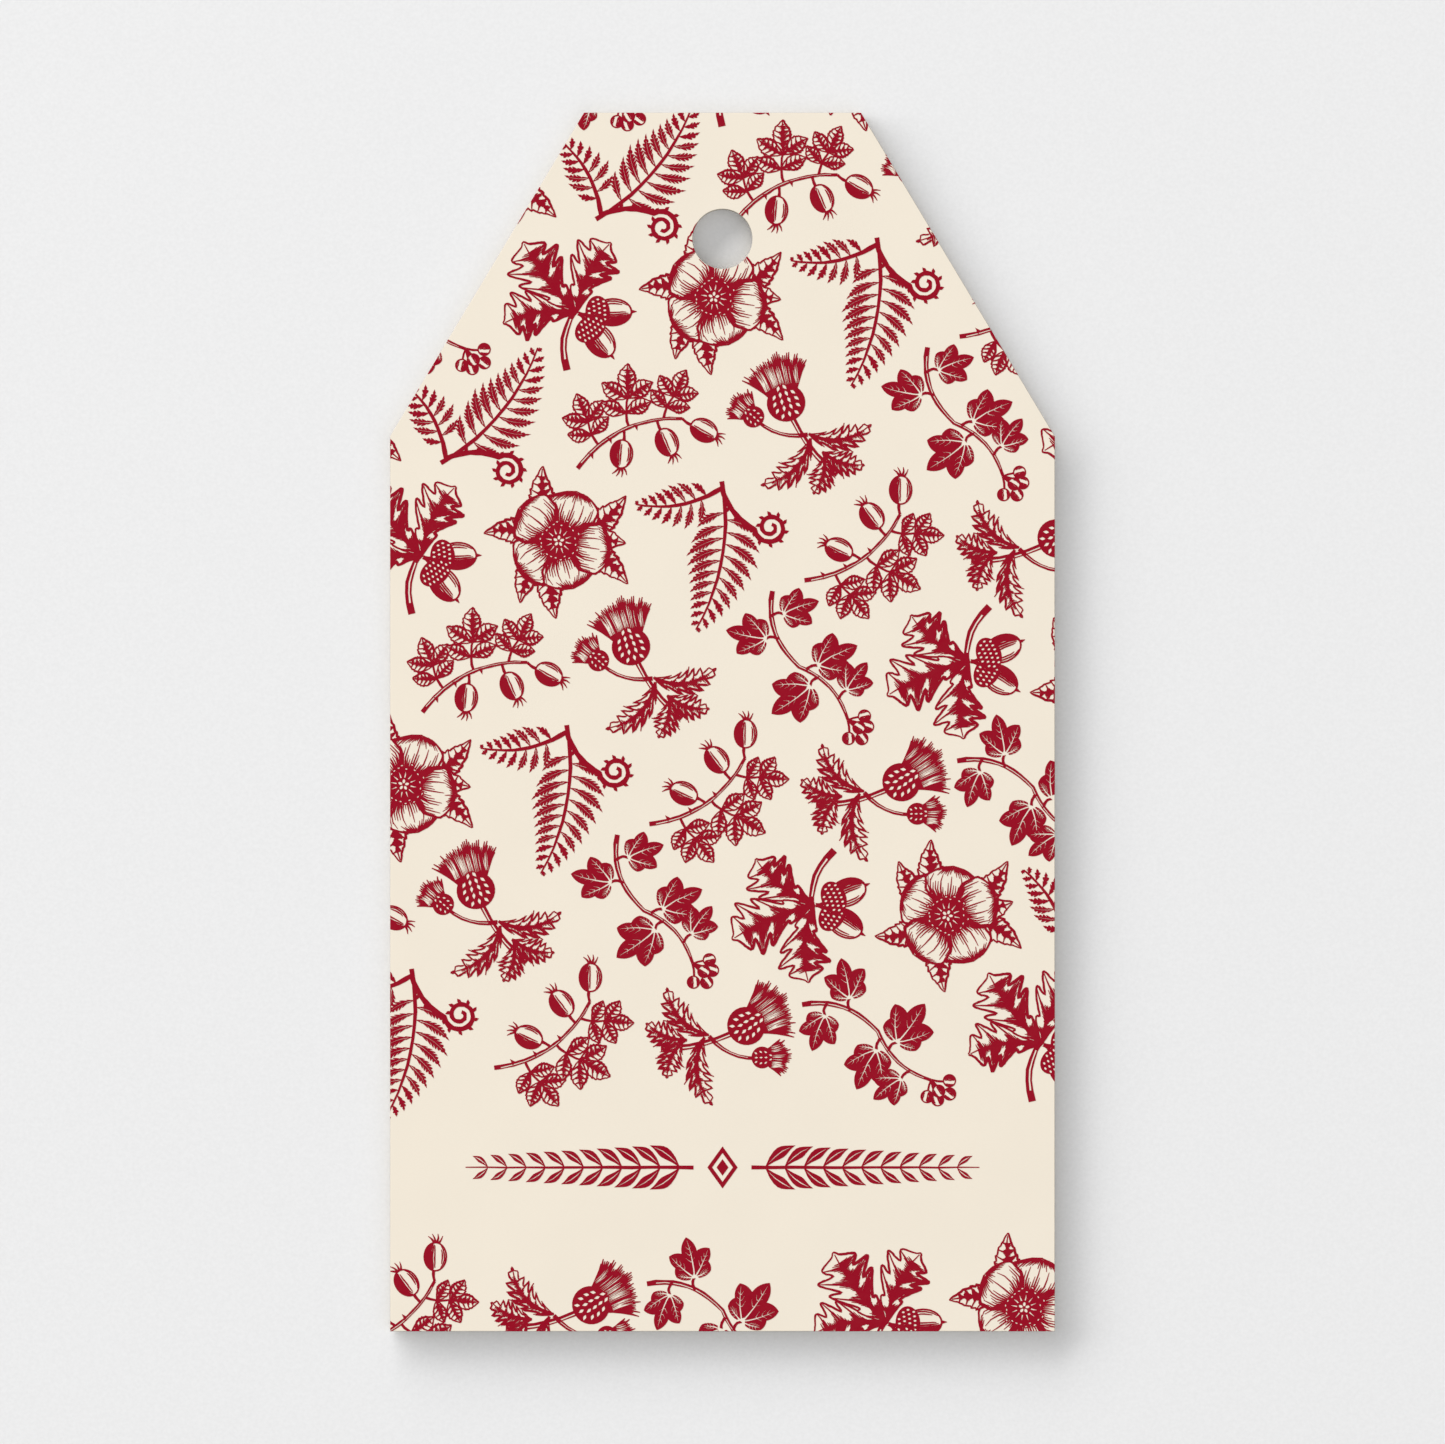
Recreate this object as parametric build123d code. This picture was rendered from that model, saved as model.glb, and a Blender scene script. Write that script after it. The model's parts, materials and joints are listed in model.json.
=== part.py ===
from build123d import *
import os

# Gift tag: a card of three pasted plies, die-cut in one stroke to a tag outline with slanted shoulders and
# one punched hole for a string. It lies face up on its back, with +Y towards the hole and +Z out of the face.
# The origin is the middle of the outline, on the back. All sizes are in millimetres.

# Outline
TAG_WIDTH = 60.0
TAG_LENGTH = 110.0
TOP_EDGE_WIDTH = 25.0  # straight edge between the two slanted shoulders
SHOULDER_DROP = 29.2  # from the top edge down to where the shoulders meet the sides

# String hole, on the centre line
HOLE_DIAMETER = 5.4
HOLE_FROM_TOP = 11.4

# Plies and the glue films between them
FACE_SHEET_THICKNESS = 0.30
CORE_BOARD_THICKNESS = 0.40
BACK_SHEET_THICKNESS = 0.30
GLUE_FILM_THICKNESS = 0.03

# The cutting die and the punch come down on the face and draw its edges over
DIE_ROLL_RADIUS = 0.05
DIE_ROLL_WALL_SHARE = 0.6  # most of the face sheet's thickness that the rounding may take


def tag_plan():
    """The tag seen from above: its outline with the string hole cut out of it."""
    side, end = TAG_WIDTH / 2, TAG_LENGTH / 2
    shoulder, top = end - SHOULDER_DROP, TOP_EDGE_WIDTH / 2
    right = [(side, -end), (side, shoulder), (top, end)]
    left = [(-x, y) for x, y in reversed(right)]
    with BuildSketch() as plan:
        with BuildLine():
            Polyline(*right, *left, close=True)
        make_face()
        with Locations((0, end - HOLE_FROM_TOP)):
            Circle(HOLE_DIAMETER / 2, mode=Mode.SUBTRACT)
    return plan.sketch


def ply(plan, bottom, thickness):
    """One flat layer of the tag, cut to the plan, with its lower face at the given height."""
    return extrude(Pos(0, 0, bottom) * plan, thickness)


def die_rolled(sheet):
    """The sheet with the edges of its upper face, round the outline and the hole, drawn over by the cut."""
    radius = min(DIE_ROLL_RADIUS, DIE_ROLL_WALL_SHARE * FACE_SHEET_THICKNESS)
    upper_face = sheet.faces().sort_by(Axis.Z)[-1]
    return fillet(upper_face.edges(), radius)


def build():
    """Every node of the tag by name, from the back up."""
    plan = tag_plan()
    stack = (
        ("back_sheet", BACK_SHEET_THICKNESS),
        ("back_glue_film", GLUE_FILM_THICKNESS),
        ("core_board", CORE_BOARD_THICKNESS),
        ("face_glue_film", GLUE_FILM_THICKNESS),
        ("face_sheet", FACE_SHEET_THICKNESS),
    )
    nodes, height = {}, 0.0
    for name, thickness in stack:
        nodes[name] = ply(plan, height, thickness)
        height += thickness
    nodes["face_sheet"] = die_rolled(nodes["face_sheet"])
    return nodes


os.makedirs("parts", exist_ok=True)
for node, solid in build().items():
    export_step(solid, f"parts/{node}.step")
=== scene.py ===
"""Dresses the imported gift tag. The plies and glue films get their finish. The face gets its print of
engraved plants, which is drawn here line by line and laid on the paper as thin films of ink. The print is
planned in millimetres, seen from above the face. Everything else is in metres, in the frame of the tag."""

import json
import math
import random

import bmesh
import bpy
import numpy as np
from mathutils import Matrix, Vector
from mathutils.geometry import delaunay_2d_cdt


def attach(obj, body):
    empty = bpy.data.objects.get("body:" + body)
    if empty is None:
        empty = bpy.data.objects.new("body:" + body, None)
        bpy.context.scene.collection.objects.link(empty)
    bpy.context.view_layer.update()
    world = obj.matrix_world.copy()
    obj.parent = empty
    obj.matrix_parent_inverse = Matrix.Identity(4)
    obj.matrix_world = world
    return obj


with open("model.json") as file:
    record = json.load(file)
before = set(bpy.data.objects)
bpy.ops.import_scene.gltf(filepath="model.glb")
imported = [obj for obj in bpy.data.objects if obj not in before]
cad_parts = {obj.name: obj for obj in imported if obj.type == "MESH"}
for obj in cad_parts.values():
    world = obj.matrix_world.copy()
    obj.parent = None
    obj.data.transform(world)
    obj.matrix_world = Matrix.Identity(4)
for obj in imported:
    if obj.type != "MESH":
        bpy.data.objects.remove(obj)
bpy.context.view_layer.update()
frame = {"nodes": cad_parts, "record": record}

MM = 0.001

# Picture
VIEW_WIDTH = 0.13042  # of the face plane, from the left edge of the picture to the right
LENS = 200.0  # mm
SENSOR = 36.0  # mm
NEAR_LIMIT = 0.01  # of what the camera sees

# Light: an even fill from all round, a wide, low panel off the upper left corner, and a weak, higher one
# that returns some of its light from off the lower right corner
FILL_STRENGTH = 0.43
PANEL_WIDTH = 5.6
PANEL_DISTANCE = 3.0
KEY_POWER = 197.0  # watts
KEY_HEIGHT = 1.0
KEY_ELEVATION = 16.0  # degrees
KEY_AZIMUTH = 135.0  # degrees from +X to +Y
RETURN_POWER = 32.0  # watts
RETURN_HEIGHT = 2.6
RETURN_ELEVATION = 45.0  # degrees

# Floor
FLOOR_COLOUR = (0.86, 0.86, 0.862)
FLOOR_SIZE = 4.0
FLOOR_GAP = 0.22 * MM  # under the back of the tag, which isn't perfectly flat
FLOOR_GRAIN = 0.3 * MM
FLOOR_CONTRAST = 0.022  # share by which the grain is lighter or darker than the floor's colour

# Card, glue and ink, with linear colours
CARD_COLOUR = (0.900, 0.818, 0.689)
CORE_COLOUR = (0.906, 0.855, 0.768)
GLUE_COLOUR = (0.82, 0.76, 0.64)
INK_COLOUR = (0.314, 0.0030, 0.0165)
# Cut edges and rolled rim are darker than the faces: partly the open fibres' own tone, partly painted
# shade that holds down their highlight and the light they throw onto the floor
CUT_TONE_AND_SHADE = 0.5  # of a ply's colour at its cut edge and rolled rim, partly painted shade
CUT_END = 0.8  # upward part of the surface normal up to which the cut edge's darker colour reaches
FACE_START = 0.995  # and from which the face begins; the rolled rim between them is painted darker too
THIN_INK = 0.008  # share of the card's colour that shows where the ink is thinnest
TOOTH = 0.16 * MM  # grain of the uncoated paper

# Ink films, in mm
INK_PROUD = 0.012
INK_SUNK = 0.008
EDGE_MARGIN = 0.004  # of bare paper at the very edge
FOLD_SHARES = (1.0, 0.6, 0.25)  # of the width of the rolled edge, where a film bends
READING_TOLERANCE = 0.002  # for the sizes that are read from the frame
MERGE_DISTANCE = 1e-6  # between points that count as one
FLAT_ANGLE = 0.03  # radians, between triangles that count as one plane

# Pen of the print, in mm
OUTLINE = 0.24
MIDRIB = 0.32
VEIN = 0.204
HATCH = 0.13
HATCH_PITCH = 0.17
SHAKE = 0.022  # unsteadiness of the hand
PRESS = 0.14  # and of its pressure, as a share of the line's width
SPREAD = 0.035  # what a line gains in width when its ink is printed
FINEST = 0.02  # narrowest line that comes out

# Engraving, heavier on the shaded side of a leaf than on its lit side
SHADED_OUTLINE = 1.1  # share of the outline's width
LIT_OUTLINE = 0.72
SHADED_HATCH = 1.2  # share of the hatching's width
LIT_HATCH = 0.85
SHADED_REACH = (0.3, 0.84)  # of hatching across the leaf, between the veins and beside them
LIT_REACH = (0.1, 0.46)
MERIDIAN_PITCH = 0.34  # between the lines on a fruit, in the units of its plate

# Layout of the print, in mm: rows of tossed motifs, every second row shifted by half a column
COLUMN_PITCH = 14.0
ROW_PITCH = 11.0
FIRST_ROW = 60.0  # the edge crops most of it
ROW_COUNT = 9
STRIP_ROW = -53.2  # of the row at the bottom edge, which crops it
DIVIDER_ROW = -40.2
COLUMNS = range(-3, 4)


# Pen
def heading(degrees):
    """Unit vector in a direction, in degrees from +X to +Y."""
    angle = math.radians(degrees)
    return np.array((math.cos(angle), math.sin(angle)))


def bow_control(start, end, bow):
    """Control point of a parabola whose middle is pushed to the left by bow times its length."""
    chord = end - start
    return (start + end) / 2 + 2 * bow * np.array((-chord[1], chord[0]))


def parabola(start, control, end, share):
    """Points of a parabola at shares of its length."""
    return (1 - share) ** 2 * start + 2 * share * (1 - share) * control + share ** 2 * end


def bent(start, end, bow, steps=7):
    """Points of a whole parabola from start to end, with the given bow."""
    start, end = np.asarray(start, float), np.asarray(end, float)
    return parabola(start, bow_control(start, end, bow), end, np.linspace(0, 1, steps)[:, None])


def sideways(path):
    """Unit vectors to the left of a path at each of its points."""
    run = np.gradient(path, axis=0)
    run /= np.linalg.norm(run, axis=1)[:, None]
    return np.column_stack((-run[:, 1], run[:, 0]))


def tapering(steps, thick, thin=0.02):
    """Widths of a line that thins out towards its end."""
    return thin + (thick - thin) * (1 - np.linspace(0, 1, steps)) ** 0.8


def swelling(steps, thick, thin=0.03):
    """Widths of a line that is thickest in the middle."""
    return thin + (thick - thin) * np.sin(np.pi * np.linspace(0, 1, steps)) ** 0.7


def ellipse(centre, long, wide, angle=0, steps=28):
    """Points round an ellipse whose long axis has the given heading."""
    turn = np.linspace(0, 2 * np.pi, steps, endpoint=False)
    along = np.outer(np.cos(turn) * long / 2, heading(angle))
    across = np.outer(np.sin(turn) * wide / 2, heading(angle + 90))
    return np.asarray(centre, float) + along + across


def meridian(centre, long, wide, angle, offset, reach, steps=8):
    """Line between the poles of a round body, as far to its side as given, over a share of its length."""
    turn = np.linspace(-1, 1, steps) * math.pi / 2 * reach
    along = np.outer(np.sin(turn) * long / 2, heading(angle))
    across = np.outer(np.cos(turn) * wide / 2 * offset, heading(angle + 90))
    return np.asarray(centre, float) + along + across


def winding(points, outline):
    """How often the closed outline goes round each point."""
    start, end = outline, np.roll(outline, -1, axis=0)
    x, y = points[:, :1], points[:, 1:]
    left = (end[:, 0] - start[:, 0]) * (y - start[:, 1]) - (x - start[:, 0]) * (end[:, 1] - start[:, 1])
    upward = (start[:, 1] <= y) & (end[:, 1] > y) & (left > 0)
    downward = (start[:, 1] > y) & (end[:, 1] <= y) & (left < 0)
    return upward.sum(1) - downward.sum(1)


class Plate:
    """One motif as it is built up: closed outlines in paint order, each of ink or of bare paper. It is
    drawn in its own units and printed at a size in mm per unit. Pen lines have their widths in mm."""

    def __init__(self, seed, size):
        self.random = random.Random(seed)
        self.size = size
        self.shapes = []

    def vary(self, low, high):
        return self.random.uniform(low, high)

    def fill(self, outline, ink=True):
        self.shapes.append((np.asarray(outline, float) * self.size, ink))

    def clear(self, outline):
        self.fill(outline, ink=False)

    def line(self, path, widths, ink=True):
        """A pen line along the path, with the pen's width at each of its points. Ink spreads in the
        press, which widens a line of ink and narrows a bare one."""
        path = np.asarray(path, float)
        shake = np.array([(self.vary(-SHAKE, SHAKE), self.vary(-SHAKE, SHAKE)) for _ in path])
        press = np.array([self.vary(1 - PRESS, 1 + PRESS) for _ in path])
        path = path + shake / self.size
        widths = np.maximum(widths * press + (SPREAD if ink else -SPREAD), FINEST)
        side = sideways(path) * widths[:, None] / 2 / self.size
        self.fill(np.vstack((path - side, (path + side)[::-1])), ink)

    def outlines(self):
        return [outline for outline, _ in self.shapes]

    def centred(self):
        """The plate with the middle of its drawing moved to the origin."""
        points = np.vstack(self.outlines())
        middle = (points.min(0) + points.max(0)) / 2
        self.shapes = [(outline - middle, ink) for outline, ink in self.shapes]
        return self

    def inked(self, points):
        """Which points are ink: those where the topmost outline over them is one of ink."""
        ink = np.zeros(len(points), bool)
        undecided = np.ones(len(points), bool)
        for outline, is_ink in reversed(self.shapes):
            within = np.all((points >= outline.min(0)) & (points <= outline.max(0)), axis=1)
            near = np.nonzero(undecided & within)[0]
            if len(near):
                under = near[winding(points[near], outline) != 0]
                ink[under] = is_ink
                undecided[under] = False
        return ink


class Blade:
    """A leaf or petal with a bent midrib. A place on it is given along the midrib, from 0 to 1, and
    across, from -1 to 1. Lines across it lean towards the tip as side veins do."""

    def __init__(self, base, angle, length, width, shape, bow=0.0, lean=0.25):
        self.base = np.asarray(base, float)
        self.tip = self.base + length * heading(angle)
        self.control = bow_control(self.base, self.tip, bow)
        self.length = length
        self.width = width
        self.shape = shape
        self.lean = lean

    def run(self, along):
        return 2 * (1 - along) * (self.control - self.base) + 2 * along * (self.tip - self.control)

    def course(self, along):
        """Heading of the midrib, in degrees."""
        run = self.run(along)
        return math.degrees(math.atan2(run[1], run[0]))

    def at(self, along, across=0.0):
        along, across = np.broadcast_arrays(np.asarray(along, float), np.asarray(across, float))
        reach = self.shape(along) * across
        leaning = (along + self.lean * np.abs(reach) * (1 - along))[..., None]
        rib = parabola(self.base, self.control, self.tip, leaning)
        run = self.run(leaning)
        run /= np.linalg.norm(run, axis=-1, keepdims=True)
        side = np.stack((-run[..., 1], run[..., 0]), -1)
        return rib + side * (self.width / 2 * reach)[..., None]

    def outline(self, steps):
        along = np.linspace(0, 1, steps)
        return np.vstack((self.at(along, -1), self.at(along[::-1], 1)[1:-1]))


# Blade shapes: the half-width along the midrib, as a share of the widest
def ovate(along):
    return np.sin(np.pi * along ** 0.72) ** 0.85


def lanceolate(along):
    return np.sin(np.pi * along ** 0.8) ** 1.1


def obovate(along):
    return np.abs(np.sin(np.pi * along ** 1.45)) ** 0.6 * (1 + 0.04 * np.sin(19 * along))


def oak_lobes(along):
    lobes = (0.05 + 0.95 * np.sin(np.pi * (4 * along + 0.12)) ** 2) ** 0.4
    return np.abs(np.sin(np.pi * along ** 1.1)) ** 0.75 * (0.22 + 0.78 * lobes)


def spiny(along):
    lobes = np.mod(6 * along + 0.35, 1) ** 1.6
    return np.abs(np.sin(np.pi * along ** 0.85)) ** 0.7 * (0.3 + 0.7 * lobes)


def lobed(count):
    def shape(along):
        return np.abs(lanceolate(along)) * (0.45 + 0.55 * np.abs(np.sin(np.pi * count * along)) ** 0.5)
    return shape


def toothed(count, depth):
    def shape(along):
        return np.abs(ovate(along)) * (1 - depth * (1 - np.mod(along * count, 1)))
    return shape


# Engraved parts of plants
def edge_lines(plate, blade, steps, weight=1.0, shade=-1):
    """Both margins of a blade, heavier on the shaded side."""
    along = np.linspace(0, 1, steps)
    for side in (-1, 1):
        thick = OUTLINE * weight * (SHADED_OUTLINE if side == shade else LIT_OUTLINE)
        plate.line(blade.at(along, side), thick * (0.5 + 0.5 * np.sin(np.pi * along) ** 0.6))


def leaf(plate, blade, steps, veins, shade=-1, depth=1.0, weight=1.0, start=0.0):
    """A leaf with midrib, side veins and hatching, longer beside the veins and on the shaded side."""
    plate.clear(blade.outline(steps))
    count = max(7, int(blade.length * plate.size / (HATCH_PITCH * weight ** 0.5)))
    gap = np.diff(veins).mean()
    for side in (-1, 1):
        low, high = SHADED_REACH if side == shade else LIT_REACH
        heavy = SHADED_HATCH if side == shade else LIT_HATCH
        for along in np.linspace(start, 0.85, count):
            near_vein = max(0, 1 - 2 * np.abs(veins - along).min() / gap)
            reach = min(0.9, (low + (high - low) * near_vein) * plate.vary(0.7, 1.12) * depth)
            thick = HATCH * weight * plate.vary(0.8, 1.25) * heavy
            plate.line(blade.at(along, np.linspace(0, reach, 4) * side), tapering(4, thick))
        for along in veins:
            plate.line(blade.at(along, np.linspace(0, 0.94, 5) * side), tapering(5, VEIN * weight, 0.05))
    plate.line(blade.at(np.linspace(start, 0.97, 8)), tapering(8, MIDRIB * weight, 0.06))
    edge_lines(plate, blade, steps, weight, shade)


def stem(plate, path, thick, thin):
    """A twig as a dark line with a light streak along it."""
    widths = np.linspace(thick, thin, len(path))
    plate.line(path, widths)
    streak = path + sideways(path) * widths[:, None] * 0.1
    plate.line(streak[1:-1], widths[1:-1] * 0.3, ink=False)


def fruit(plate, centre, long, wide, angle, weight=1.0):
    """A berry, hip or nut: meridians that crowd and thicken towards the shaded side."""
    plate.fill(ellipse(centre, long + 0.2 * weight, wide + 0.2 * weight, angle))
    plate.clear(ellipse(centre, long - 0.1 * weight, wide - 0.1 * weight, angle))
    lines = max(4, int(wide / MERIDIAN_PITCH))
    for share in np.arange(lines) / lines:
        reach = 0.97 - 0.5 * share + plate.vary(-0.05, 0.03)
        path = meridian(centre, long, wide, angle, 1.1 * share - 0.93, reach)
        plate.line(path, swelling(len(path), (0.27 - 0.2 * share) * weight))
    for offset, reach in ((0.86, 0.6), (0.66, 0.35)):
        path = meridian(centre, long, wide, angle, offset, reach, 6)
        plate.line(path, swelling(len(path), 0.11 * weight))


# Oak twig
def oak():
    plate = Plate(3, 1.12)
    stem(plate, bent((0.4, -1.6), (-2.7, -5.5), -0.12), 0.46, 0.6)
    lobes = np.array((0.095, 0.345, 0.595, 0.8))
    leaves = ((158, 6.0, 4.1, -0.09, 1), (34, 6.3, 4.2, 0.1, -1), (97, 7.2, 4.7, 0.05, -1))
    for angle, length, width, bow, shade in leaves:
        blade = Blade((0.3, -1.9), angle, length, width, oak_lobes, bow, 0.45)
        leaf(plate, blade, 65, lobes, shade, 1.3)
    for angle, bow in ((-28, -0.12), (-82, 0.1)):
        acorn(plate, np.array((0.4, -2.0)), angle, bow)
    return plate


def acorn(plate, base, angle, bow):
    along, across = heading(angle), heading(angle + 90)
    neck = base + 1.0 * along
    plate.line(bent(base, neck, bow), np.linspace(0.34, 0.26, 7))
    nut = neck + 1.75 * along
    plate.line(bent(nut + 1.4 * along, nut + 1.95 * along, 0, 3), tapering(3, 0.34))
    fruit(plate, nut, 3.0, 2.1, angle)
    cup = neck + 0.55 * along
    plate.fill(ellipse(cup, 2.0, 2.75, angle))
    for row in range(4):
        for k in range(-4, 5):
            side = (k + 0.5 * (row % 2)) * 0.36
            forward = -0.68 + 0.42 * row - 0.1 * side ** 2
            if forward ** 2 + (side / 1.375) ** 2 < 0.8:
                plate.clear(ellipse(cup + forward * along + side * across, 0.25, 0.17, angle, 6))


# Fern: two fronds, and a young one still rolled up
def fern():
    plate = Plate(5, 1.08)
    foot = np.array((-2.4, -5.6))
    frond(plate, Blade(foot + (0.1, 0.5), -9, 7.4, 0, ovate, bow=0.1), 15, 3.0)
    frond(plate, Blade(foot, 60, 12.6, 0, ovate, bow=0.09), 22, 4.8)
    crozier(plate, foot + (0.2, 0.6), np.array((-4.9, -0.6)))
    return plate


def frond(plate, rachis, count, reach):
    """A frond along the rachis, with arms of up to the reach to its two sides in turn."""
    for k in range(count):
        along = 0.2 + 0.78 * (k / (count - 1)) ** 0.93
        side = 1 if k % 2 else -1
        length = reach * (1 - along) ** 0.72 * min(1, 0.6 + 2.2 * (along - 0.2)) + 0.2
        pinna(plate, rachis.at(along), rachis.course(along) + side * (70 - 26 * along), length, side)
    plate.line(rachis.at(np.linspace(0, 1, 12)), tapering(12, 0.4, 0.1))


def pinna(plate, base, angle, reach, side):
    """One arm of the frond: dark, with rounded lobes and a bare midrib."""
    lobes = max(3, round(reach / 0.42))
    blade = Blade(base, angle, reach, 0.36 + 0.15 * reach, lobed(lobes), 0.09 * side, 0.3)
    plate.fill(blade.outline(4 * lobes + 1))
    if lobes > 4:
        plate.line(blade.at(np.linspace(0.12, 0.8, 5)), tapering(5, 0.08), ink=False)


def crozier(plate, foot, centre):
    """A stalk that ends in a coil, with scales along its back."""
    turn = np.linspace(0, 1, 34)
    coil = np.array([centre + 1.35 * (1 - 0.8 * t) * heading(600 * t - 12) for t in turn])
    path = np.vstack((bent(foot, coil[0], -0.1, 10)[:-1], coil))
    plate.line(path, np.linspace(0.46, 0.3, len(path)))
    out = -sideways(path)
    for k in range(3, 28, 2):
        scale = Blade(path[k], math.degrees(math.atan2(*out[k][::-1])) + 40, 0.62, 0.3, lanceolate)
        plate.fill(scale.outline(6))


# Hellebore flower
def hellebore():
    plate = Plate(7, 1.06)
    leaves = ((196, 6.9, 0.1, 1), (232, 5.7, -0.06, 1), (262, 6.9, -0.1, -1), (322, 6.6, 0.1, -1),
              (352, 6.2, 0.12, -1), (56, 6.4, 0.08, 1), (128, 6.5, -0.1, 1))
    for angle, length, bow, shade in leaves:
        blade = Blade((0, 0), angle, length, 2.4, toothed(9, 0.16), bow, 0.3)
        leaf(plate, blade, 28, np.linspace(0.52, 0.86, 4), shade, 1.2, 0.85, start=0.45)
    for k in (0, 2, 4, 1, 3):
        petal(plate, 18 + 72 * k + plate.vary(-6, 6))
    heart(plate)
    return plate


def petal(plate, angle):
    length, width = plate.vary(3.9, 4.3), plate.vary(4.1, 4.5)
    blade = Blade(0.3 * heading(angle), angle, length, width, obovate, plate.vary(-0.05, 0.05), 0.0)
    plate.clear(blade.outline(20))
    for k, across in enumerate(np.linspace(-0.92, 0.92, 19)):
        shadow = plate.vary(0.38, 0.62) + 0.14 * abs(across)
        plate.line(blade.at(np.linspace(0.15, shadow, 4), across), tapering(4, 0.17))
        if k % 4 == 1:
            plate.line(blade.at(np.linspace(0.15, plate.vary(0.7, 0.86), 5), across), tapering(5, 0.17))
        rim = plate.vary(0.76, 0.9) - 0.12 * max(0, -across)
        plate.line(blade.at(np.linspace(0.975, rim, 4), across * 0.97), tapering(4, 0.12))
    edge_lines(plate, blade, 20, 1.1)


def heart(plate):
    """Stamens round the five carpels."""
    plate.fill(ellipse((0, 0), 2.5, 2.5))
    for k in range(24):
        angle = k * 15 + plate.vary(-4, 4)
        tip = plate.vary(1.35, 1.85) * heading(angle)
        plate.line(bent(0.6 * heading(angle), tip, plate.vary(-0.08, 0.08), 4), np.full(4, 0.1))
        plate.fill(ellipse(tip, 0.44, 0.32, angle + 90, 8))
        plate.clear(ellipse(tip, 0.2, 0.11, angle + 90, 6))
    for angle in range(0, 360, 30):
        path = bent(0.62 * heading(angle), 1.1 * heading(angle), 0, 3)
        plate.line(path, np.array((0.16, 0.12, 0.06)), ink=False)
    for angle in range(0, 360, 72):
        plate.clear(ellipse(0.3 * heading(angle), 0.36, 0.24, angle, 8))


# Rosehip sprig
def rosehip():
    plate = Plate(11, 1.0)
    main = bent((-5.0, -4.4), (3.0, 2.4), 0.13, 21)
    for place, angle, length in ((5, 128, 4.6), (11, 106, 5.2), (17, 80, 4.4)):
        compound_leaf(plate, main[place], angle, length)
    stem(plate, main, 0.42, 0.24)
    for thorn in main[[3, 7, 12]]:
        plate.fill((thorn + (-0.1, 0.0), thorn + (0.4, -0.4), thorn + (0.28, 0.18)))
    for place, angle, bow in ((20, -14, -0.12), (10, -80, 0.1), (16, -52, -0.1)):
        hip(plate, main[place], angle, bow)
    return plate


def hip(plate, base, angle, bow):
    along = heading(angle)
    neck = base + 1.0 * along
    body = neck + 1.2 * along
    for turn in (-44, -18, 12, 40):
        tip = body + 1.1 * along + 1.0 * heading(angle + turn)
        plate.line(bent(body + 1.0 * along, tip, 0.1, 4), tapering(4, 0.24))
    plate.line(bent(base, neck + 0.3 * along, bow), np.linspace(0.2, 0.28, 7))
    fruit(plate, body, 2.5, 1.95, angle)


def compound_leaf(plate, base, angle, length):
    rib = Blade(base, angle, length * 0.55, 0, ovate, bow=0.08)
    plate.line(rib.at(np.linspace(0, 1, 6)), tapering(6, 0.22, 0.12))
    leaflets = ((0.45, -66, 0.48), (0.45, 66, 0.48), (0.92, -58, 0.52), (0.92, 58, 0.52), (1.0, 0, 0.56))
    for along, turn, size in leaflets:
        size *= length
        blade = Blade(rib.at(along), angle + turn, size, size * 0.6, toothed(7, 0.14), 0.04, 0.28)
        leaf(plate, blade, 22, np.linspace(0.2, 0.76, 4), depth=1.35, weight=0.74)


# Thistle
def thistle():
    plate = Plate(13, 1.1)
    stem(plate, bent((0.1, 1.5), (-1.2, -5.3), 0.07), 0.46, 0.56)
    leaves = (((-0.5, -1.3), 196, 5.2, 0.16, 1), ((-0.5, -1.7), -18, 5.6, -0.16, -1),
              ((-0.9, -3.1), 222, 3.6, 0.1, 1), ((-0.9, -3.5), -48, 3.2, -0.1, -1))
    lobes = np.array((0.1, 0.275, 0.44, 0.61, 0.78))
    for base, angle, length, bow, shade in leaves:
        leaf(plate, Blade(base, angle, length, 2.7, spiny, bow, 0.34), 37, lobes, shade, 1.3, 0.78)
    stem(plate, bent((-0.4, -1.3), (2.9, 1.5), -0.12), 0.34, 0.28)
    thistle_head(plate, np.array((3.0, 1.9)), 66, 1.7, 2.0)
    thistle_head(plate, np.array((0.1, 1.8)), 97, 3.0, 3.5)
    return plate


def thistle_head(plate, centre, angle, size, tuft):
    """A tuft of florets, light streaks in it, and the round base under it with its rows of scales."""
    along, across = heading(angle), heading(angle + 90)
    crown = centre + 0.2 * size * along
    florets = int(13 * size)
    for share in (1.0, 0.82):
        for spread in np.linspace(-1, 1, florets):
            tip = crown + tuft * share * plate.vary(0.86, 1.06) * heading(angle + 52 * spread)
            foot = crown + 0.36 * size * spread * across
            plate.line(bent(foot, tip, -0.06 * spread, 5), swelling(5, 0.22, 0.05))
    for _ in range(florets):
        spread = plate.vary(-0.9, 0.9)
        foot = crown + 0.36 * size * spread * across + 0.25 * tuft * heading(angle + 45 * spread)
        tip = crown + tuft * plate.vary(0.6, 0.85) * heading(angle + 50 * spread)
        plate.line(bent(foot, tip, -0.05 * spread, 4), swelling(4, 0.1, 0.02), ink=False)
    plate.fill(ellipse(centre, size * 1.02, size * 1.06, angle))
    rows = max(4, int(size * 1.9))
    for row in range(rows):
        forward = 0.5 - 0.94 * (row + 0.4) / rows
        half = math.sqrt(max(0.02, 0.25 - forward ** 2))
        count = max(2, int(rows * 1.9 * half))
        for k in range(count):
            spread = -1 + 2 * (k + 0.5) / count
            foot = centre + size * (forward - 0.1) * along + size * half * 0.98 * spread * across
            turn = angle - 52 * spread
            plate.fill(Blade(foot, turn, 0.26 * size, 0.17 * size, lanceolate).outline(6))
            scale = Blade(foot + 0.03 * size * along, turn, 0.17 * size, 0.085 * size, lanceolate)
            plate.clear(scale.outline(5))


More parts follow.
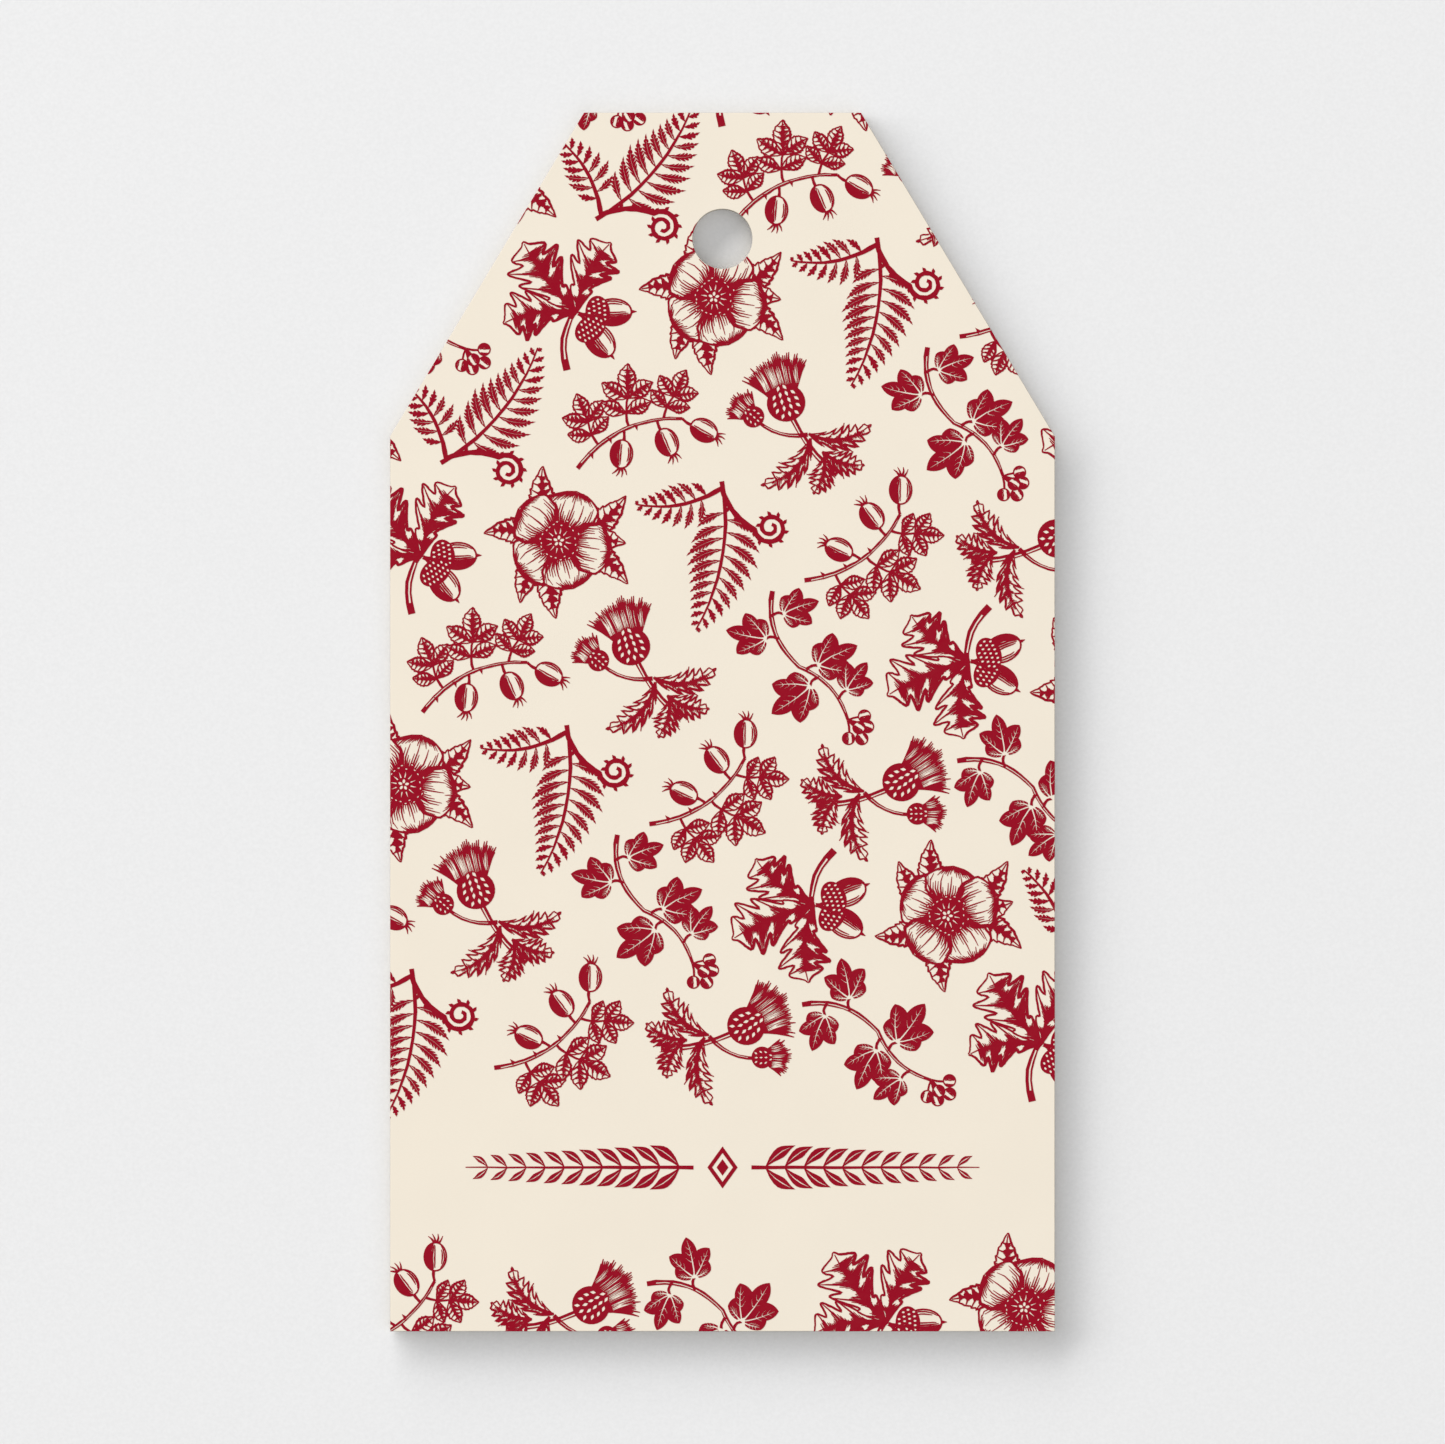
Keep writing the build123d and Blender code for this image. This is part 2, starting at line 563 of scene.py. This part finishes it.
# Ivy sprig, with the heading and reach of a leaf's tips and of the notches before, between and after them
IVY_TIPS = ((-112, 0.62), (-54, 0.84), (0, 1.0), (54, 0.84), (112, 0.62))
IVY_NOTCHES = ((-160, 0.42), (-82, 0.56), (-27, 0.56), (27, 0.56), (82, 0.56), (160, 0.42))


def ivy():
    plate = Plate(17, 1.1)
    lower = bent((-6.0, -2.6), (0.2, -0.4), -0.14, 11)
    upper = bent((0.2, -0.4), (4.6, 3.6), 0.12, 11)
    main = np.vstack((lower, upper[1:]))
    stem(plate, main, 0.42, 0.26)
    leaves = ((3, 104, 2.3, 0.2), (6, -96, 2.5, -0.2), (11, 112, 2.7, 0.15), (13, -48, 2.9, -0.2),
              (17, 140, 2.1, 0.1))
    for place, angle, size, bow in leaves:
        foot = main[place] + heading(angle)
        plate.line(bent(main[place], foot, bow), np.linspace(0.24, 0.2, 7))
        ivy_leaf(plate, foot, angle + 30 * bow, size)
    for angle, reach in ((2, 1.5), (37, 1.9), (72, 1.7), (104, 1.4), (56, 1.1)):
        end = main[-1] + reach * heading(angle)
        plate.line(bent(main[-1], end, 0.05, 4), np.full(4, 0.16))
        fruit(plate, end, 0.95, 0.95, angle, 0.75)
    return plate


def ivy_leaf(plate, base, angle, size):
    """A dark five-lobed leaf with its veins left bare."""
    centre = base + 0.35 * size * heading(angle)
    tips = [centre + size * reach * heading(angle + turn) for turn, reach in IVY_TIPS]
    notches = [centre + size * reach * heading(angle + turn) for turn, reach in IVY_NOTCHES]
    outline = [base + 0.14 * size * heading(angle)]
    for before, tip, after in zip(notches, tips, notches[1:]):
        outline.extend(bent(before, tip, -0.12)[:-1])
        outline.extend(bent(tip, after, -0.12)[:-1])
    plate.fill(outline + [notches[-1]])
    for (turn, _), tip in zip(IVY_TIPS, tips):
        end = centre + 0.88 * (tip - centre)
        plate.line(bent(base, end, math.copysign(0.04, turn), 6), tapering(6, 0.17, 0.05), ink=False)
        for share in (0.42, 0.6, 0.77):
            here = base + (end - base) * share
            for side in (-1, 1):
                twig = here + size * 0.3 * (1 - share * 0.75) * heading(angle + turn * 0.8 + side * 42)
                plate.line(bent(here, twig, 0.05 * side, 4), tapering(4, 0.09), ink=False)


# Divider: a spray of small leaves to each side of a lozenge
def divider():
    plate = Plate(19, 1.0)
    for side in (-1, 1):
        spray = Blade((2.6 * side, 0), 90 - 90 * side, 20.6, 0, ovate)
        for along in np.linspace(0.06, 0.9, 11):
            size = 3.5 * (1 - 0.55 * along)
            for flank in (-1, 1):
                angle = spray.course(along) + 36 * flank
                blade = Blade(spray.at(along), angle, size, 0.3 * size, lanceolate, 0.08 * flank)
                plate.fill(blade.outline(8))
                plate.line(blade.at(np.linspace(0.16, 0.86, 4)), swelling(4, 0.12), ink=False)
        plate.line(spray.at(np.linspace(0, 1, 12)), tapering(12, 0.3, 0.06))
    for size, ink in ((3.8, True), (2.6, False), (1.5, True)):
        plate.fill([size / 2 * heading(angle) * (0.72, 1) for angle in (0, 90, 180, 270)], ink)
    return plate


# Printing
class TagPlan:
    """The tag's own sizes in mm, read from the frame: outline, hole, face height and rolled edge."""

    def __init__(self):
        points = np.array([v.co for v in frame["nodes"]["face_sheet"].data.vertices]) / MM
        right, end, self.top = points.max(0)
        level = points[points[:, 2] > self.top - READING_TOLERANCE]
        self.roll = right - level[:, 0].max()
        half_top = points[points[:, 1] > end - READING_TOLERANCE][:, 0].max()
        shoulder = points[points[:, 0] > right - READING_TOLERANCE][:, 1].max()
        corners = [(right, points[:, 1].min()), (right, shoulder), (half_top, end)]
        self.corners = np.array(corners + [(-x, y) for x, y in reversed(corners)])
        edges = np.roll(self.corners, -1, axis=0) - self.corners
        lengths = np.linalg.norm(edges, axis=1)
        self.inward = np.column_stack((-edges[:, 1], edges[:, 0])) / lengths[:, None]
        bore = next(mount for mount in frame["record"]["mounts"] if mount["name"] == "string_hole")
        self.hole = np.array(bore["pos_m"][:2]) / MM
        self.hole_radius = bore["dims"]["r_mm"]
        depths = [share * self.roll for share in FOLD_SHARES] + [EDGE_MARGIN]
        self.folds = [contour for depth in depths for contour in self.contours(depth)]

    def inset(self, points):
        """Distance of each point inside the cut edges, negative beyond them."""
        from_edges = ((points[:, None] - self.corners) * self.inward).sum(2).min(1)
        from_hole = np.linalg.norm(points - self.hole, axis=1) - self.hole_radius
        return np.minimum(from_edges, from_hole)

    def height(self, points):
        """Height of the face: level, then drawn down at the cut edges."""
        over = np.clip(self.roll - self.inset(points), 0, self.roll)
        return self.top - self.roll + np.sqrt(self.roll ** 2 - over ** 2)

    def contours(self, depth):
        """The outline and the hole's rim, both moved into the paper by the depth."""
        before = np.roll(self.inward, 1, axis=0)
        bisector = (self.inward + before) / (1 + (self.inward * before).sum(1))[:, None]
        width = 2 * (self.hole_radius + depth)
        return self.corners + depth * bisector, ellipse(self.hole, width, width, steps=72)


class Spot:
    """Where a plate is printed on the face: place in mm, turn in degrees, and -1 if it is mirrored."""

    def __init__(self, place, turn=0.0, mirror=1):
        self.place = np.asarray(place, float)
        self.axes = np.array((mirror * heading(turn), heading(turn + 90)))

    def onto_face(self, points):
        return points @ self.axes + self.place

    def onto_plate(self, points):
        return (points - self.place) @ self.axes.T


def ring_edges(outlines):
    """The edges of closed outlines whose points are numbered in one row."""
    edges, start = [], 0
    for outline in outlines:
        count = len(outline)
        edges += [(start + k, start + (k + 1) % count) for k in range(count)]
        start += count
    return np.array(edges)


def triangulated(points, edges):
    """Triangles between the points, none of them crossing an edge."""
    vectors = [Vector(point) for point in points]
    no_faces = []
    fill_all = 0
    result = delaunay_2d_cdt(vectors, edges.tolist(), no_faces, fill_all, MERGE_DISTANCE)
    corners, triangles = result[0], result[2]
    return np.array([tuple(corner) for corner in corners]), np.array(triangles)


def rim_of(points, triangles):
    """The points and edges round an area of triangles."""
    sides = np.sort(triangles[:, ((0, 1), (1, 2), (2, 0))].reshape(-1, 2), axis=1)
    sides, uses = np.unique(sides, axis=0, return_counts=True)
    used, rim = np.unique(sides[uses == 1], return_inverse=True)
    return points[used], rim.reshape(-1, 2)


def cut_film(plate, spot, rim_points, rim):
    """The printed area on the face as triangles, cut off at the edges and folded where they roll over."""
    folds = plan.folds
    points = np.vstack(folds + [spot.onto_face(rim_points)])
    edges = np.vstack((ring_edges(folds), rim + sum(map(len, folds))))
    points, triangles = triangulated(points, edges)
    middles = points[triangles].mean(1)
    kept = (plan.inset(middles) > EDGE_MARGIN) & plate.inked(spot.onto_plate(middles))
    return points, triangles[kept]


def print_piece(plate, name, spots):
    """One piece of the print: every film of ink that the plate leaves on the face. Strokes that overlap
    are merged first, and then only the rim of the ink is filled with triangles."""
    outlines = plate.outlines()
    points, triangles = triangulated(np.vstack(outlines), ring_edges(outlines))
    rim_points, rim = rim_of(points, triangles[plate.inked(points[triangles].mean(1))])
    points, triangles = triangulated(rim_points, rim)
    triangles = triangles[plate.inked(points[triangles].mean(1))]
    film = bmesh.new()
    for spot in spots:
        corners, faces = spot.onto_face(points), triangles
        if plan.inset(corners).min() < plan.roll:
            corners, faces = cut_film(plate, spot, rim_points, rim)
        add_faces(film, corners, faces)
    thicken(film)
    mesh = bpy.data.meshes.new(name)
    film.to_mesh(mesh)
    film.free()
    piece = bpy.data.objects.new(name, mesh)
    bpy.context.scene.collection.objects.link(piece)
    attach(piece, "root")
    return piece


def add_faces(film, points, triangles):
    heights = plan.height(points) - INK_SUNK
    corners = {k: film.verts.new(Vector((*points[k], heights[k])) * MM) for k in np.unique(triangles)}
    for triangle in triangles:
        film.faces.new([corners[k] for k in triangle])


def thicken(film):
    """Joins flat triangles where that loses nothing, then makes the sheet a closed film."""
    bmesh.ops.dissolve_limit(
        film, angle_limit=FLAT_ANGLE, verts=film.verts, edges=film.edges, delimit=set())
    bmesh.ops.triangulate(film, faces=film.faces)
    raised = bmesh.ops.extrude_face_region(film, geom=film.faces[:], use_keep_orig=True)["geom"]
    lifted = [part for part in raised if isinstance(part, bmesh.types.BMVert)]
    bmesh.ops.translate(film, verts=lifted, vec=(0, 0, (INK_SUNK + INK_PROUD) * MM))
    bmesh.ops.recalc_face_normals(film, faces=film.faces)


# Each motif and the turn it is printed at, in degrees
MOTIFS = ((oak, 30), (hellebore, 230), (fern, 200), (rosehip, 75), (thistle, 295), (ivy, 0))


def tossed(kind):
    """Spots of the motifs of one kind. The kinds follow each other along a row, and the next row starts
    with another one, so that no motif lies beside one of its own kind. From one motif to the next they
    are turned by half a turn, and from row to row by three quarters."""
    rows = [(row, FIRST_ROW - ROW_PITCH * row) for row in range(ROW_COUNT)]
    for row, height in rows + [(ROW_COUNT + 1, STRIP_ROW)]:
        for column in COLUMNS:
            if (column + 3 * row + row // 2) % len(MOTIFS) == kind:
                place = ((column + 0.5 * (row % 2)) * COLUMN_PITCH, height)
                mirror = -1 if (column + row // 2) % 2 else 1
                yield Spot(place, 180 * column + 270 * row + MOTIFS[kind][1], mirror)


def print_face(ink):
    """The whole print, one piece for each kind of motif and one for the divider."""
    for kind, (draw, _) in enumerate(MOTIFS):
        plate = draw().centred()
        points = np.vstack(plate.outlines())
        spots = [spot for spot in tossed(kind) if plan.inset(spot.onto_face(points)).max() > EDGE_MARGIN]
        print_piece(plate, f"printed_{draw.__name__}", spots).data.materials.append(ink)
    print_piece(divider(), "printed_divider", [Spot((0, DIVIDER_ROW))]).data.materials.append(ink)


# Materials
class Finish:
    """A procedural material, built up node by node in the coordinates of the tag."""

    # Places of the colour sockets of a mix node, whose names are also those of its other sockets
    FIRST_COLOUR = 6
    SECOND_COLOUR = 7
    MIXED_COLOUR = 2

    def __init__(self, name):
        self.material = bpy.data.materials.new(name)
        self.material.use_nodes = True
        self.tree = self.material.node_tree
        self.shader = self.tree.nodes["Principled BSDF"]
        self.place = self.add("ShaderNodeTexCoord").outputs["Object"]

    def add(self, kind, **settings):
        node = self.tree.nodes.new(kind)
        for key, value in settings.items():
            setattr(node, key, value)
        return node

    def put(self, value, socket):
        if isinstance(value, bpy.types.NodeSocket):
            self.tree.links.new(value, socket)
        else:
            socket.default_value = value

    def surface(self, name, value):
        """Sets one of the shader's own inputs."""
        self.put(value, self.shader.inputs[name])

    def noise(self, size, detail=2.0, stretch=(1, 1, 1), roughness=0.5):
        """Cloudy noise between 0 and 1 with features of about the size, in metres."""
        mapping = self.add("ShaderNodeMapping")
        mapping.inputs["Scale"].default_value = [1 / s for s in stretch]
        self.put(self.place, mapping.inputs["Vector"])
        node = self.add("ShaderNodeTexNoise")
        self.put(mapping.outputs["Vector"], node.inputs["Vector"])
        self.put(1 / size, node.inputs["Scale"])
        self.put(detail, node.inputs["Detail"])
        self.put(roughness, node.inputs["Roughness"])
        return node.outputs["Fac"]

    def math(self, operation, first, second=0.0):
        node = self.add("ShaderNodeMath", operation=operation)
        self.put(first, node.inputs[0])
        self.put(second, node.inputs[1])
        return node.outputs["Value"]

    def spread(self, value, low, high, start=0.3, end=0.7):
        """The value's range from start to end, spread between low and high."""
        node = self.add("ShaderNodeMapRange")
        self.put(value, node.inputs["Value"])
        self.put(start, node.inputs["From Min"])
        self.put(end, node.inputs["From Max"])
        self.put(low, node.inputs["To Min"])
        self.put(high, node.inputs["To Max"])
        return node.outputs["Result"]

    def mix(self, share, first, second):
        node = self.add("ShaderNodeMix", data_type="RGBA")
        self.put(share, node.inputs["Factor"])
        for colour, socket in ((first, self.FIRST_COLOUR), (second, self.SECOND_COLOUR)):
            self.put((*colour, 1) if isinstance(colour, tuple) else colour, node.inputs[socket])
        return node.outputs[self.MIXED_COLOUR]

    def relief(self, height, depth):
        node = self.add("ShaderNodeBump")
        self.put(height, node.inputs["Height"])
        self.put(depth, node.inputs["Distance"])
        self.surface("Normal", node.outputs["Normal"])


def shaded(colour, share):
    return tuple(share * part for part in colour)


def paper(name, colour):
    """Uncoated card: a fine tooth with fibres in it, and a fibrous cut edge and rolled rim, darkened
    partly by their fibres and partly by painted shade.
    """
    finish = Finish(name)
    formation = finish.noise(6 * MM, detail=3)
    fibres = finish.noise(0.35 * MM, detail=3, stretch=(1.0, 0.22, 1.0))
    tooth = finish.noise(TOOTH, detail=4, roughness=0.6)
    layers = finish.noise(0.12 * MM, detail=3, stretch=(4.0, 4.0, 0.5))
    upward = finish.add("ShaderNodeSeparateXYZ")
    finish.put(finish.add("ShaderNodeNewGeometry").outputs["Normal"], upward.inputs[0])
    level = finish.math("ABSOLUTE", upward.outputs["Z"])
    # mask of the cut edge and the rolled rim, which get the darker colour that is partly painted shade
    edge = finish.spread(level, 1.0, 0.0, CUT_END, FACE_START)
    cloud = finish.math("MULTIPLY", finish.math("ADD", formation, fibres), 0.5)
    face = finish.mix(finish.spread(cloud, 0, 1), shaded(colour, 0.985), shaded(colour, 1.015))
    # the cut edge's colour: the fibres' darker tone together with painted shade
    cut_colour_and_shade = shaded(colour, CUT_TONE_AND_SHADE)
    cut = finish.mix(finish.spread(layers, 0, 1), shaded(cut_colour_and_shade, 0.86), shaded(cut_colour_and_shade, 1.06))
    finish.surface("Base Color", finish.mix(edge, face, cut))
    finish.surface("Roughness", finish.spread(tooth, 0.82, 0.95))
    finish.surface("Specular IOR Level", 0.15)
    torn = finish.math("MULTIPLY", layers, edge)
    finish.relief(finish.math("ADD", torn, finish.math("MULTIPLY", tooth, 0.35)), 0.008 * MM)
    return finish.material


def glue(name):
    """Dried paste, seen only as a line at the cut edge, with small dull patches."""
    finish = Finish(name)
    patches = finish.noise(0.5 * MM, detail=3, stretch=(1, 1, 0.2))
    colour = finish.mix(finish.spread(patches, 0, 1), shaded(GLUE_COLOUR, 0.8), GLUE_COLOUR)
    finish.surface("Base Color", colour)
    finish.surface("Roughness", finish.spread(patches, 0.35, 0.6))
    finish.relief(patches, 0.004 * MM)
    return finish.material


def printing_ink(name):
    """Offset ink: dense, a little thinner on the high points of the paper's tooth, with a dull sheen."""
    finish = Finish(name)
    tooth = finish.noise(TOOTH, detail=4, roughness=0.6)
    cover = finish.noise(1.3 * MM, detail=3)
    high_points = finish.math("MULTIPLY", tooth, 0.6)
    clouds = finish.math("MULTIPLY", cover, 0.4)
    thinness = finish.spread(finish.math("ADD", high_points, clouds), 0, 1, 0.42, 0.75)
    thin = tuple(ink + THIN_INK * (card - ink) for ink, card in zip(INK_COLOUR, CARD_COLOUR))
    finish.surface("Base Color", finish.mix(thinness, INK_COLOUR, thin))
    finish.surface("Roughness", finish.spread(tooth, 0.5, 0.75))
    finish.surface("Specular IOR Level", 0.05)
    finish.relief(tooth, 0.003 * MM)
    return finish.material


def floor_paper(name):
    """Plain white paper with a fine grain."""
    finish = Finish(name)
    grain = finish.spread(finish.noise(FLOOR_GRAIN, detail=3), 0, 1)
    darker = shaded(FLOOR_COLOUR, 1 - FLOOR_CONTRAST)
    lighter = shaded(FLOOR_COLOUR, 1 + FLOOR_CONTRAST)
    finish.surface("Base Color", finish.mix(grain, darker, lighter))
    finish.surface("Roughness", 0.95)
    finish.surface("Specular IOR Level", 0.0)
    return finish.material


def dress_plies():
    card = paper("cream_card", CARD_COLOUR)
    core = paper("core_card", CORE_COLOUR)
    paste = glue("dried_paste")
    finishes = {
        "face_sheet": card,
        "back_sheet": card,
        "core_board": core,
        "face_glue_film": paste,
        "back_glue_film": paste,
    }
    for node, finish in finishes.items():
        materials = frame["nodes"][node].data.materials
        materials.clear()
        materials.append(finish)


# Studio
def set_camera():
    data = bpy.data.cameras.new("camera")
    data.lens = LENS
    data.sensor_width = SENSOR
    data.clip_start = NEAR_LIMIT
    camera = bpy.data.objects.new("camera", data)
    camera.location = (0, 0, plan.top * MM + VIEW_WIDTH * LENS / SENSOR)
    bpy.context.scene.collection.objects.link(camera)
    bpy.context.scene.camera = camera


def set_floor():
    half = FLOOR_SIZE / 2
    corners = ((-half, -half), (half, -half), (half, half), (-half, half))
    mesh = bpy.data.meshes.new("floor")
    mesh.from_pydata([(x, y, -FLOOR_GAP) for x, y in corners], [], [(0, 1, 2, 3)])
    mesh.materials.append(floor_paper("floor_paper"))
    floor = bpy.data.objects.new("floor", mesh)
    bpy.context.scene.collection.objects.link(floor)


def set_lights():
    world = bpy.data.worlds.new("studio")
    bpy.context.scene.world = world
    world.use_nodes = True
    background = world.node_tree.nodes["Background"]
    background.inputs["Color"].default_value = (1, 1, 1, 1)
    background.inputs["Strength"].default_value = FILL_STRENGTH
    set_panel("key", KEY_POWER, KEY_HEIGHT, KEY_ELEVATION, KEY_AZIMUTH)
    set_panel("return", RETURN_POWER, RETURN_HEIGHT, RETURN_ELEVATION, KEY_AZIMUTH + 180)


def set_panel(name, power, height, elevation, azimuth):
    """A wide panel of light that faces the tag from the given elevation and azimuth."""
    data = bpy.data.lights.new(name, "AREA")
    data.shape = "RECTANGLE"
    data.size = PANEL_WIDTH
    data.size_y = height
    data.energy = power
    rise = math.radians(elevation)
    direction = Vector((*heading(azimuth) * math.cos(rise), math.sin(rise)))
    panel = bpy.data.objects.new(name, data)
    panel.location = direction * PANEL_DISTANCE
    panel.rotation_mode = "QUATERNION"
    panel.rotation_quaternion = direction.to_track_quat("Z", "Y")
    bpy.context.scene.collection.objects.link(panel)


bpy.context.scene.view_settings.view_transform = "Standard"
plan = TagPlan()
set_camera()
set_floor()
set_lights()
dress_plies()
print_face(printing_ink("crimson_ink"))
